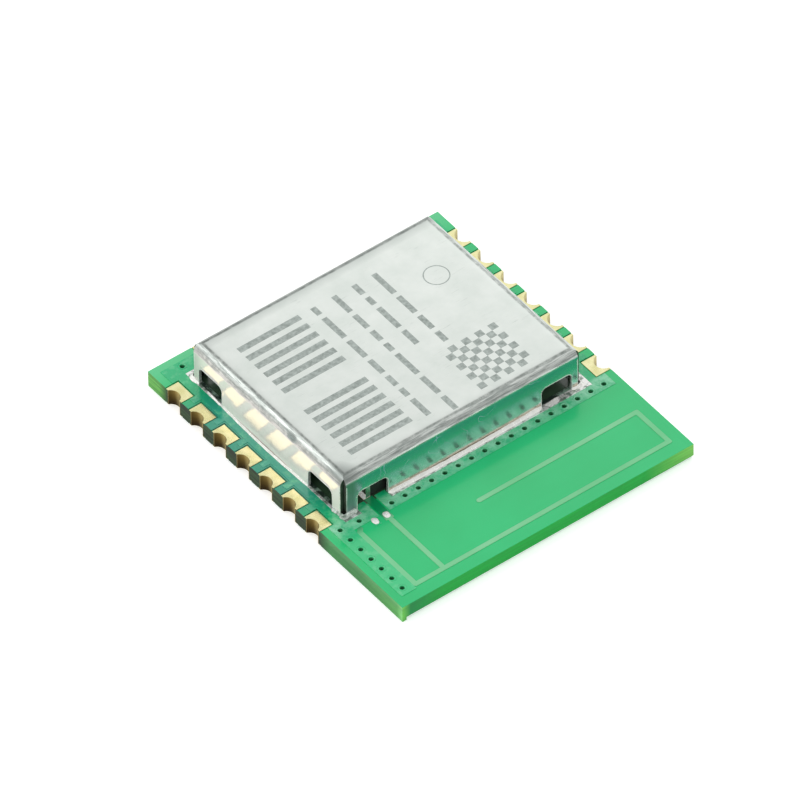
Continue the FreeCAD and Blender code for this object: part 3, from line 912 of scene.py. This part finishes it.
def inset(points, distance):
    """A closed outline moved to its inner side; the outline runs anticlockwise."""
    moved = []
    for i, point in enumerate(points):
        before = (point - points[i - 1]).normalized()
        after = (points[(i + 1) % len(points)] - point).normalized()
        normal = Vector((-before.y, before.x)) + Vector((-after.y, after.x))
        normal.normalize()
        reach = distance / max(0.5, normal.dot(Vector((-before.y, before.x))))
        moved.append(point + normal * reach)
    return moved


def inside(spot, outline):
    """Whether a flat point lies in a closed outline."""
    found = False
    for i, a in enumerate(outline):
        b = outline[i - 1]
        if (a.y > spot.y) != (b.y > spot.y):
            if spot.x < (b.x - a.x) * (spot.y - a.y) / (b.y - a.y) + a.x:
                found = not found
    return found


def clearance(spot, outline):
    """Distance from a flat point to a closed outline."""
    nearest = math.inf
    for i, a in enumerate(outline):
        b = outline[i - 1]
        share = geometry.intersect_point_line(spot, a, b)[1]
        share = min(max(share, 0.0), 1.0)
        nearest = min(nearest, (spot - (a + (b - a) * share)).length)
    return nearest


def can_sides():
    """The four walls: corner on their left seen from outside, direction along, direction out."""
    x0, y0 = CAN_LOW[:2]
    x1, y1 = CAN_HIGH[:2]
    wide, long = x1 - x0, y1 - y0
    near, far = WINDOW_INSET_NEAR, WINDOW_INSET_FAR
    return {
        "front": Side("front", (x0, y0), (1, 0), (0, -1), wide, near, far),
        "right": Side("right", (x1, y0), (0, 1), (1, 0), long, near, far),
        "rear": Side("rear", (x1, y1), (-1, 0), (0, 1), wide, far, near),
        "left": Side("left", (x0, y1), (0, -1), (-1, 0), long, far, near),
    }


def divided(outline, size):
    """A closed outline with points no further apart than size."""
    points = []
    for i, point in enumerate(outline):
        after = outline[(i + 1) % len(outline)]
        count = max(1, math.ceil((after - point).length / size))
        points += [point.lerp(after, k / count) for k in range(count)]
    return points


def rectangle(x0, x1, y0, y1):
    return [Vector(p) for p in ((x0, y0), (x1, y0), (x1, y1), (x0, y1))]


def circle(place, radius):
    turns = [math.tau * i / RING_POINTS for i in range(RING_POINTS)]
    return [Vector((place[0] + radius * math.cos(t), place[1] + radius * math.sin(t))) for t in turns]


def chequer_marks():
    x0, y0 = CHEQUER_LOW
    wide = (CHEQUER_HIGH[0] - x0) / CHEQUER_COUNT
    long = (CHEQUER_HIGH[1] - y0) / CHEQUER_COUNT
    return [rectangle(x0 + i * wide, x0 + (i + 1) * wide, y0 + j * long, y0 + (j + 1) * long)
            for i in range(CHEQUER_COUNT) for j in range(i % 2, CHEQUER_COUNT, 2)]


def dash_marks():
    """Rows of dashes, each row starting at another of the lengths."""
    marks = []
    for row, (x, end) in enumerate(DASH_ROWS):
        start, step = DASH_START, row
        while start > end:
            stop = max(end, start - DASH_LENGTHS[step % len(DASH_LENGTHS)])
            marks.append(rectangle(x - DASH_HEIGHT / 2, x + DASH_HEIGHT / 2, stop, start))
            start, step = stop - DASH_GAP, step + 2
    return marks


def stripe_marks():
    marks = []
    for (x0, y0), (x1, y1) in zip(STRIPES_LOW, STRIPES_HIGH):
        count = round((y1 - y0) / STROKE) // 2 + 1
        pitch = (y1 - y0 - STROKE) / (count - 1)
        marks += [rectangle(x0, x1, y0 + i * pitch, y0 + i * pitch + STROKE) for i in range(count)]
    return marks


def lid(sheet):
    """The flat lid, with the marks' outlines as edges; what an odd number of them holds is etched."""
    xs = steps(CAN_LOW[0] + BEND_RADIUS, CAN_HIGH[0] - BEND_RADIUS, CELL)
    ys = steps(CAN_LOW[1] + BEND_RADIUS, CAN_HIGH[1] - BEND_RADIUS, CELL)
    rim = [Vector((xs[i], ys[j])) for i, j in border(len(xs) - 1, len(ys) - 1)]
    marks = [circle(RING_PLACE, RING_RADIUS + side * RING_STROKE / 2) for side in (1, -1)]
    marks += chequer_marks() + dash_marks() + stripe_marks()
    points, edges = [], []
    for outline in [rim] + [divided(mark, LID_CELL) for mark in marks]:
        edges += closed(len(points), outline)
        points += outline
    points += grid_points(steps(xs[0], xs[-1], LID_CELL), steps(ys[0], ys[-1], LID_CELL))
    spots, faces, _ = triangles(points, edges)
    kinds = []
    for face in faces:
        middle = middle_of(spots, face)
        marked = sum(inside(middle, mark) for mark in marks) % 2 == 1
        kinds.append(ETCHED if marked else PLAIN)
    sheet.fill([Vector((p.x, p.y, LID)) for p in spots], faces, kinds)


def worn(point):
    """A point of the can with the lid's gentle waves and the small dent on its left bend."""
    moved = point.copy()
    if point.z > LID - 0.5 * BEND_RADIUS:
        low = wave(point.x * 0.35, point.y * 0.35, 3.1)
        fine = wave(point.x * 1.1, point.y * 1.1, 7.7)
        moved.z -= max(0.0, LID_WAVE * (0.5 + 0.7 * low + 0.25 * fine))
    away = [(c - d) / size for c, d, size in zip(point, DENT_PLACE, DENT_SIZE)]
    nearness = math.exp(-2 * sum(a * a for a in away))
    return moved + Vector(DENT_DIRECTION).normalized() * DENT_DEPTH * nearness


def baked(piece):
    """Turns the modifiers' result into the piece's own mesh and marks its sharp edges."""
    shape = piece.evaluated_get(bpy.context.evaluated_depsgraph_get())
    mesh = bpy.data.meshes.new_from_object(shape)
    piece.modifiers.clear()
    piece.data = mesh
    mesh.set_sharp_from_angle(angle=math.radians(SHARP_ANGLE))
    smooth = piece.modifiers.new("even_shading", "WEIGHTED_NORMAL")
    smooth.keep_sharp = True


def shield_can(outside, etched, punched, within):
    sheet = Sheet()
    lid(sheet)
    for side in can_sides().values():
        side.bend(sheet)
        side.wall(sheet)
    points = [worn(p) for p in sheet.points]
    # The inner skin takes the dark inside tin, painted shade
    materials = [outside, within, etched, within, punched, within]
    piece = mesh_piece("folded_can", points, sheet.faces, materials,
                       ["shield_can"], sheet.kinds)
    weld(piece)
    thick = piece.modifiers.new("thickness", "SOLIDIFY")
    thick.thickness = SHEET * MM
    thick.offset = -1.0
    thick.use_even_offset = True
    thick.material_offset = 1
    baked(piece)
    # The cut faces of the corner slits take the dark inside tin, painted shade
    for face in piece.data.polygons:
        if in_slit(face.center / MM):
            face.material_index = 1


def in_slit(spot):
    """Whether a point of the can lies on the cut faces of a corner slit."""
    from_edges = [min(abs(spot[i] - CAN_LOW[i]), abs(spot[i] - CAN_HIGH[i])) for i in (0, 1)]
    within = SLIT_SKIN < min(from_edges) and max(from_edges) < SLIT + SLIT_PLAY
    return within and spot[2] < LID - SLIT_BELOW_LID


# Solder

def bead_row(spot, out, high, far, bow):
    """Points round a bead: behind the wall's face, then down the bead's curve."""
    behind = spot - out * BEAD_SUNK
    row = [behind, behind + Vector((0, 0, high))]
    for k in range(BEAD_ROWS + 1):
        share = k / BEAD_ROWS
        row.append(spot + out * (far * share) + Vector((0, 0, high * (1 - share) ** bow)))
    return row


def bead(name, path, height, reach, seed, material, replaced, lumps=0.35):
    """A bead of solder in the corner between a wall and its land, along a path of (point, outward)."""
    points, faces = [], []
    length = [0.0]
    for (a, _), (b, _) in zip(path, path[1:]):
        length.append(length[-1] + (b - a).length)
    total = length[-1]
    for (spot, out), run in zip(path, length):
        end = min(run, total - run)
        fade = min(1.0, math.sqrt(max(end, 0.0) / BEAD_FADE + 0.02))
        swell = 1 + lumps * wave(run * 2.3, seed, 0.0)
        swell += 0.5 * lumps * wave(run * 7.0, seed, 5.0)
        spread = 1 + 0.6 * lumps * wave(run * 3.1, seed, 9.0)
        bow = 1.6 + 0.5 * wave(run * 2.0, seed, 14.0)
        points += bead_row(spot, out, height * swell * fade, reach * spread * fade, bow)
    ring = BEAD_ROWS + 3
    for i in range(len(path) - 1):
        faces += ring_faces(i * ring, (i + 1) * ring, ring)
    faces.append(tuple(reversed(range(ring))))
    faces.append(tuple(range((len(path) - 1) * ring, len(path) * ring)))
    mesh_piece(name, points, faces, [material], replaced)


def straight_path(side, low, high):
    out = side.out.to_3d()
    return [(side.point(s, 0.0, FOOT), out) for s in steps(low, high, BEAD_STEP)]


def corner_path(first, second):
    """From the last window of one side round the corner to the first window of the next."""
    turn = first.length - CORNER_RADIUS
    path = straight_path(first, first.windows[1][1], turn)
    middle = first.point(turn, CORNER_RADIUS, FOOT)
    for angle in quarter_turn(CORNER_STEPS)[1:-1]:
        out = first.out.to_3d() * math.cos(angle) + second.out.to_3d() * math.sin(angle)
        path.append((middle + out * CORNER_RADIUS, out))
    return path + straight_path(second, CORNER_RADIUS, second.windows[0][0])


def can_solder(material, flux_and_reflection_look):
    sides = can_sides()
    for i, (name, side) in enumerate(sides.items()):
        path = straight_path(side, side.windows[0][1], side.windows[1][0])
        bead("bead_" + name, path, *BEAD_SIZES[name], BEAD_SEED + i, material, ["wall_solder_" + name])
    for i, (name, (first, second)) in enumerate(CORNERS.items()):
        # The front left corner's solder holds a painted reflection of the board among its flux
        look = flux_and_reflection_look if name == "front_left" else material
        path = corner_path(sides[first], sides[second])
        bead("blob_" + name, path, CORNER_SIZE, CORNER_SIZE, CORNER_SEED + i, look,
             ["corner_solder_" + name], 1.1)
    for name, window, start, end, reach in SMEARS:
        low, high = sides[name].windows[window]
        path = straight_path(sides[name], low + start * (high - low), low + end * (high - low))
        bead("smear_" + name, path, SMEAR_HEIGHT, reach, SMEAR_SEED, material, [], 0.8)


def dome(x, y, half_y, low, high, seed):
    """Points of a low dome on an oval foot: a square grid bent round."""
    points = []
    shares = [2 * i / SPOT_CELLS - 1 for i in range(SPOT_CELLS + 1)]
    for u in shares:
        for v in shares:
            px = u * math.sqrt(1 - v * v / 2)
            py = v * math.sqrt(1 - u * u / 2)
            rise = max(0.0, 1 - px * px - py * py) ** 0.45
            swell = 1 + 0.3 * wave(px * 2.2, py * 2.2, seed * 4.0)
            edge = 1 + 0.1 * wave(px * 1.7, py * 1.7, seed * 9.0 + 2)
            points.append(Vector((x + px * SPOT_WIDTH / 2 * edge, y + py * half_y * edge,
                                  low + SPOT_RAISED + (high - low) * rise * swell)))
    return points


def feed_spots(material):
    """The two low domes of solder at the antenna's feed."""
    low, high = box_of("feed_solder")
    y, half_y = (low[1] + high[1]) / 2, (high[1] - low[1]) / 2
    size, row = SPOT_CELLS, SPOT_CELLS + 1
    points, faces = [], []
    for n, x in enumerate((low[0] + SPOT_WIDTH / 2, high[0] - SPOT_WIDTH / 2)):
        start = len(points)
        points += dome(x, y, half_y, low[2], high[2], n)
        for i in range(size):
            for j in range(size):
                a = start + i * row + j
                faces.append((a, a + row, a + row + 1, a + 1))
        rim = [start + i * row + j for i, j in border(size, size)]
        base = len(points)
        points += [Vector((points[i].x, points[i].y, low[2])) for i in rim]
        for k, m in closed(0, rim):
            faces.append((rim[k], rim[m], base + m, base + k))
        faces.append(tuple(base + k for k in range(len(rim))))
    mesh_piece("feed_drops", points, faces, [material], ["feed_solder"])


# Plated holes

def hole_centres():
    """The middles of the plated holes, read from the node that lines them."""
    groups = []
    for corner in frame["nodes"]["ground_vias"].data.vertices:
        flat = (corner.co / MM).to_2d()
        for group in groups:
            if (group[0] - flat).length < HOLES_APART:
                group.append(flat)
                break
        else:
            groups.append([flat])
    return [Vector([(min(p[i] for p in group) + max(p[i] for p in group)) / 2 for i in (0, 1)])
            for group in groups]


def hole_rims(material):
    """A low ring of solder mask round each plated hole, on the top."""
    points, faces = [], []
    size = len(RIM_PROFILE)
    for middle in hole_centres():
        start = len(points)
        for i in range(RIM_TURNS):
            angle = math.tau * i / RIM_TURNS
            for radius, rise in RIM_PROFILE:
                points.append(Vector((middle.x + radius * math.cos(angle),
                                      middle.y + radius * math.sin(angle), COPPER_TOP + rise)))
        for i in range(RIM_TURNS):
            faces += ring_faces(start + i * size, start + (i + 1) % RIM_TURNS * size, size)
    mesh_piece("hole_rims", points, faces, [material])


# The module

solder = metal_paint("solder", SOLDER_GREYS, (0.16, 0.3), 4.0, 0.005, 9.0, metallic=0.3)
# Solder with grey flux and a painted reflection of the board
solder_flux_and_reflection = metal_paint("solder_flux_and_reflection", SOLDER_FLUX_AND_REFLECTION_GREYS, (0.2, 0.4), 6.0, 0.006, 9.0, metallic=0.4)
copper_mask = mask_paint("masked_copper", COPPER_GREENS, copper_looks)
bare_copper = metal_paint("bare_copper", BARE_COPPER, (0.3, 0.45))
gold = gold_paint()
capacitor = chip_paint("capacitor", CAPACITOR_BROWNS, 0.22, "X")
resistor = chip_paint("resistor", RESISTOR_BLACKS, 0.22, "X")

soften("circuit_board", 0.025, mask_paint("board", BOARD_GREENS, board_looks))
soften("ground_copper", 0.006, copper_mask)
soften("antenna_trace", 0.006, mask_paint("masked_copper_trace", TRACE_GREENS, trace_looks))
soften("ground_vias", 0.004, plain_paint("via_copper", VIA_GREENS, 0.5))
soften("shield_land", 0.008, land_paint())
soften("component_lands", 0.005, bare_copper)
soften("component_solder", 0.002, solder)
soften("radio_chip_balls", 0.01, solder)
soften("radio_chip", 0.01, plain_paint("chip_die", CHIP_DIE, 0.25))
soften("crystal_case", 0.01, plain_paint("crystal_ceramic", CRYSTAL_CERAMIC, 0.5))
soften("crystal_lid", 0.01, metal_paint("crystal_metal", CRYSTAL_METAL, (0.3, 0.45)))
soften("power_inductor", 0.002, chip_paint("inductor_core", INDUCTOR_BLACKS, 0.25, "Y"))
soften("antenna_filter", 0.002, chip_paint("filter_core", FILTER_BLACKS, 0.1375, "X"))
for node in frame["nodes"]:
    if "_contact_" in node:
        soften(node, 0.012, gold)
    if node.startswith("capacitor"):
        soften(node, 0.002, capacitor)
    if node.startswith("resistor"):
        soften(node, 0.002, resistor)

can_punched = metal_paint("can_punched", TIN_PUNCHED, (0.25, 0.35), 5.0, metallic=0.4)
# Dark tin inside the can and in its slits: painted shade
can_inside_shade = metal_paint("can_inside_shade", TIN_INSIDE_SHADE, (0.45, 0.6))
shield_can(can_paint(), etched_paint(), can_punched, can_inside_shade)
can_solder(solder, solder_flux_and_reflection)
feed_spots(solder)
hole_rims(copper_mask)


# Floor, light and camera

def floor():
    """A pale floor that the camera and the metal see as white, with the object's shadow on it."""
    paint = Paint("pale_floor")
    paint.set(Base_Color=(0.85, 0.85, 0.85, 1.0), Roughness=0.9, Specular_IOR_Level=0.1)
    paint.set(Emission_Color=(1, 1, 1, 1))
    rays = paint.add("ShaderNodeLightPath")
    mirrored = paint.math("MAXIMUM", rays.outputs["Is Glossy Ray"], rays.outputs["Is Transmission Ray"])
    paint.drive("Emission Strength", paint.total(paint.product(rays.outputs["Is Camera Ray"], FLOOR_SEEN),
                                                 paint.product(mirrored, FLOOR_MIRRORED)))
    mesh = bpy.data.meshes.new("floor")
    corners = rectangle(-FLOOR_REACH, FLOOR_REACH, -FLOOR_REACH, FLOOR_REACH)
    mesh.from_pydata([Vector((c.x, c.y, -FLOOR_GAP)) * MM for c in corners], [], [(0, 1, 2, 3)])
    mesh.materials.append(paint.material)
    piece = place_object("floor", mesh)


def world():
    """An even white room; as metal mirrors it, some parts of it are darker."""
    scene = bpy.context.scene
    scene.world = bpy.data.worlds.new("room")
    scene.world.use_nodes = True
    room = Nodes(scene.world.node_tree)
    toward = room.add("ShaderNodeTexCoord").outputs["Generated"]
    levels = []
    for direction, start, full, level in ROOM_DARKENINGS:
        turned = room.add("ShaderNodeVectorMath", operation="DOT_PRODUCT")
        turned.inputs[1].default_value = Vector(direction).normalized()
        room.link(toward, turned.inputs[0])
        levels.append(room.span(turned.outputs["Value"], start, full, 1.0, level, shape="SMOOTHSTEP"))
    glossy = room.add("ShaderNodeLightPath").outputs["Is Glossy Ray"]
    strength = room.total(room.product(*levels, glossy), room.math("SUBTRACT", 1.0, glossy))
    back = room.tree.nodes["Background"]
    back.inputs["Color"].default_value = (1, 1, 1, 1)
    room.link(strength, back.inputs["Strength"])


def lamp(name, toward, distance, size, power):
    """A square soft light in a direction from the object, aimed at it."""
    data = bpy.data.lights.new(name, "AREA")
    data.size = size * MM
    data.energy = power
    piece = place_object(name, data)
    direction = Vector(toward).normalized()
    piece.location = direction * distance * MM
    piece.rotation_mode = "QUATERNION"
    piece.rotation_quaternion = direction.to_track_quat("Z", "Y")
    piece.visible_camera = False


def camera():
    data = bpy.data.cameras.new("camera")
    data.lens = CAMERA_LENS
    data.sensor_width = SENSOR_WIDTH
    data.clip_start, data.clip_end = (distance * MM for distance in CAMERA_CLIP)
    piece = place_object("camera", data)
    piece.location = Vector(CAMERA_PLACE) * MM
    piece.rotation_euler = [math.radians(a) for a in CAMERA_TURN]
    bpy.context.scene.camera = piece


floor()
world()
for name, setting in LAMPS.items():
    lamp(name, *setting)
camera()
bpy.context.scene.view_settings.view_transform = "Standard"
